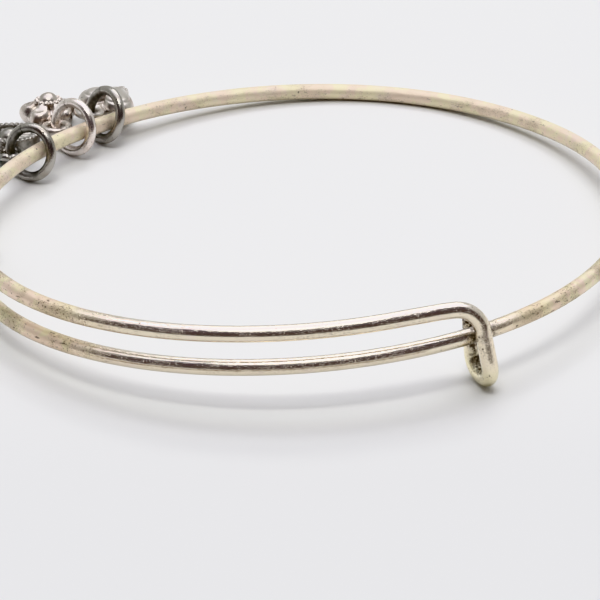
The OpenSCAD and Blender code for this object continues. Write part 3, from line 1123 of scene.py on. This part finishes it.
# %% Model the flower
flower = cast_together("flower", charm_eye(FLOWER_NECK + NECK_SUNK) + [
    puffed(150, flower_outline, FLOWER_T, FLOWER_MIDDLE, flower_relief),
    round_grain(BEAD_R, (0, FLOWER_MIDDLE, FLOWER_T / 2 - BEAD_SUNK)),
    *collar(FLOWER_MIDDLE, FLOWER_T / 2 - GRAIN_SUNK)])
mark_hollows(flower)
lay_charm(flower, "flower")
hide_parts("flower_charm")
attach(flower, "root")
print("flower:", len(flower.data.polygons), "faces")

# %% [markdown]
# ## Disc charm
# A thick coin with a raised rim, a sunk floor and a boss. Inset and a push down make the floor, and a
# bevel rounds the edges. After casting, notches are cut round the rim and rays across the floor.

# %% Disc blank
DISC_R = 3.1
DISC_T = 1.9
DISC_RIM = 0.7
DISC_FLOOR = 0.45
DISC_NECK = 0.6
DISC_MIDDLE = EYE_R + DISC_R
EDGE_ROUND = 0.16
NEARLY = 1e-4

bpy.ops.object.select_all(action="DESELECT")
bpy.ops.mesh.primitive_cylinder_add(vertices=120, radius=DISC_R, depth=DISC_T,
                                    location=(0, DISC_MIDDLE, 0))
blank = bpy.context.object
bpy.ops.object.transform_apply(location=True)
bpy.ops.object.mode_set(mode="EDIT")
bpy.ops.mesh.select_mode(type="FACE")
bpy.ops.mesh.select_all(action="DESELECT")
bpy.ops.object.mode_set(mode="OBJECT")
for face in blank.data.polygons:
    face.select = face.normal.z > 0.9
bpy.ops.object.mode_set(mode="EDIT")
bpy.ops.mesh.inset(thickness=DISC_RIM)
bpy.ops.mesh.extrude_region_move(TRANSFORM_OT_translate={"value": (0, 0, -DISC_FLOOR)})
bpy.ops.mesh.select_mode(type="EDGE")
bpy.ops.mesh.select_all(action="DESELECT")
bpy.ops.object.mode_set(mode="OBJECT")
for edge in blank.data.edges:
    ends = [blank.data.vertices[i].co for i in edge.vertices]
    edge.select = (abs(ends[0].z - ends[1].z) < NEARLY
                   and abs(abs(ends[0].z) - DISC_T / 2) < NEARLY)
bpy.ops.object.mode_set(mode="EDIT")
bpy.ops.mesh.bevel(offset=EDGE_ROUND, segments=3)
bpy.ops.object.mode_set(mode="OBJECT")
print("blank:", len(blank.data.polygons), "faces")

# %% Model the disc
# Distances are from the disc's middle, in millimetres
NOTCHES = 34
NOTCH_DEEP = 0.14
NOTCH_FROM, NOTCH_FADE = 2.3, 0.2
RAYS = 15
RAY_DEEP = 0.16
RAY_FROM, RAY_TO, RAY_FADE = 1.1, 2.4, 0.3
BOSS_R = 1.2
BOSS_SUNK = 0.4


def wave(turn, count):
    return 0.5 - 0.5 * math.cos(count * turn)


def disc_cut(x, y):
    out = math.hypot(x, y)
    turn = math.atan2(y, x)
    notches = wave(turn, NOTCHES) ** 3 * max(0, min((out - NOTCH_FROM) / NOTCH_FADE, 1))
    rays = wave(turn, RAYS) ** 2 * max(0, min((out - RAY_FROM) / RAY_FADE,
                                              (RAY_TO - out) / RAY_FADE, 1))
    return NOTCH_DEEP * notches + RAY_DEEP * rays


disc = cast_together("disc", charm_eye(DISC_NECK) + [
    blank, round_grain(BOSS_R, (0, DISC_MIDDLE, DISC_T / 2 - DISC_FLOOR - BOSS_SUNK))])
for vertex in disc.data.vertices:
    if vertex.co.z > 0:
        vertex.co.z -= disc_cut(vertex.co.x, vertex.co.y - DISC_MIDDLE)
mark_hollows(disc)
lay_charm(disc, "disc")
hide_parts("disc_charm")
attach(disc, "root")
print("disc:", len(disc.data.polygons), "faces")

# %% [markdown]
# ## Antiqued charms and rings
# The castings are dipped to darken them and then rubbed, so hollows stay dark and high places shine.
# The heart is grey pewter, the flower and its ring are brighter plated silver, and the disc and the
# two other rings are nearly black silver. All take the same shared group with their own colours.

# %% Material of an antiqued piece
RING_INSIDE, RING_OUTSIDE = 2.1 * MM, 2.85 * MM
RING_HOLLOW = (0.85, 0.3)
CASTING_PITS = 0.10
CASTING_PIT_COVER = 0.7
CASTING_SMEAR = 0.25
CASTING_SCRATCH = 0.25
SCRATCH_TURN = (0.4, 0.7, 0.3)
SCRATCH_SHAPE = (700.0, 5200.0, 5200.0)


def antiqued(name, clean, dark, warm, darkness, rough_clean, rough_dark, ring_middle=None):
    material, tree, shader = new_material(name, metallic=1.0)
    place = coordinates(tree, "Object")
    if ring_middle is None:
        hollow = attribute(tree, "hollow")
    else:
        # A ring is rubbed outside and dark inside, where it bears on the wire
        out = vector_node(tree, "DISTANCE", place, Vector(ring_middle) * MM)
        hollow = remap(tree, out, RING_INSIDE, RING_OUTSIDE, *RING_HOLLOW, smooth=False)
    aged = use_group(tree, antique_group, {"Vector": place, "Hollow": hollow, "Darkness": darkness,
                                           "Clean": clean, "Dark": dark, "Warm": warm})
    pits = use_group(tree, pits_group, {"Vector": place, "Scale": PIT_SCALE, "Amount": CASTING_PITS})
    scratches = stretched(tree, place, SCRATCH_SHAPE, Rotation=SCRATCH_TURN)
    marks = use_group(tree, marks_group, {"Vector": place, "Along": scratches})
    tone = mix_colour(tree, times(tree, pits["Mask"], CASTING_PIT_COVER), aged["Color"], dark)
    tree.links.new(tone, shader.inputs["Base Color"])
    rough = plus(tree, remap(tree, aged["Film"], 0.0, 1.0, rough_clean, rough_dark, smooth=False),
                 times(tree, plus(tree, marks["Smear"], -0.5), CASTING_SMEAR))
    tree.links.new(rough, shader.inputs["Roughness"])
    scratch_height = times(tree, marks["Scratch"], CASTING_SCRATCH)
    bump(tree, shader, plus(tree, aged["Height"], plus(tree, scratch_height, pits["Height"])))
    return material


# %% Pewter, bright silver and oxidised silver
# Each metal's clean, dark and warm colour
PEWTER = (rgb(0.66, 0.62, 0.575), rgb(0.085, 0.08, 0.07), rgb(0.56, 0.44, 0.37))
SILVER = (rgb(0.66, 0.60, 0.55), rgb(0.09, 0.09, 0.07), rgb(0.52, 0.42, 0.35))
RING_SILVER = (rgb(0.86, 0.80, 0.755), rgb(0.30, 0.26, 0.22), rgb(0.66, 0.55, 0.48))
OXIDISED = (rgb(0.43, 0.41, 0.375), rgb(0.06, 0.06, 0.05), rgb(0.33, 0.28, 0.23))
# Each charm's darkness, and how rough its clean and its dark metal are
for piece, name, colours, looks in ((heart, "pewter", PEWTER, (0.17, 0.30, 0.50)),
                                    (flower, "bright_silver", SILVER, (0.25, 0.26, 0.50)),
                                    (disc, "oxidised_silver", OXIDISED, (0.40, 0.28, 0.50))):
    piece.data.materials.clear()
    piece.data.materials.append(antiqued(name, *colours, *looks))
    print(piece.name, "takes", name)

# %% Jump rings
RING_ROUGH = (0.24, 0.46)
# Each ring's colours, its darkness and its middle in millimetres
RINGS = {
    "jump_ring_right": (OXIDISED, 0.32, (-20.479, 23.229, 2.849)),
    "jump_ring_middle": (RING_SILVER, 0.0, (-23.570, 20.393, 2.926)),
    "jump_ring_left": (OXIDISED, 0.32, (-27.704, 15.061, 2.878)),
}
for node, (colours, darkness, middle) in RINGS.items():
    metal = antiqued("%s_metal" % node, *colours, darkness, *RING_ROUGH, middle)
    for slot in bpy.data.objects[node].material_slots:
        slot.material = metal
    print(node, "takes", metal.name)
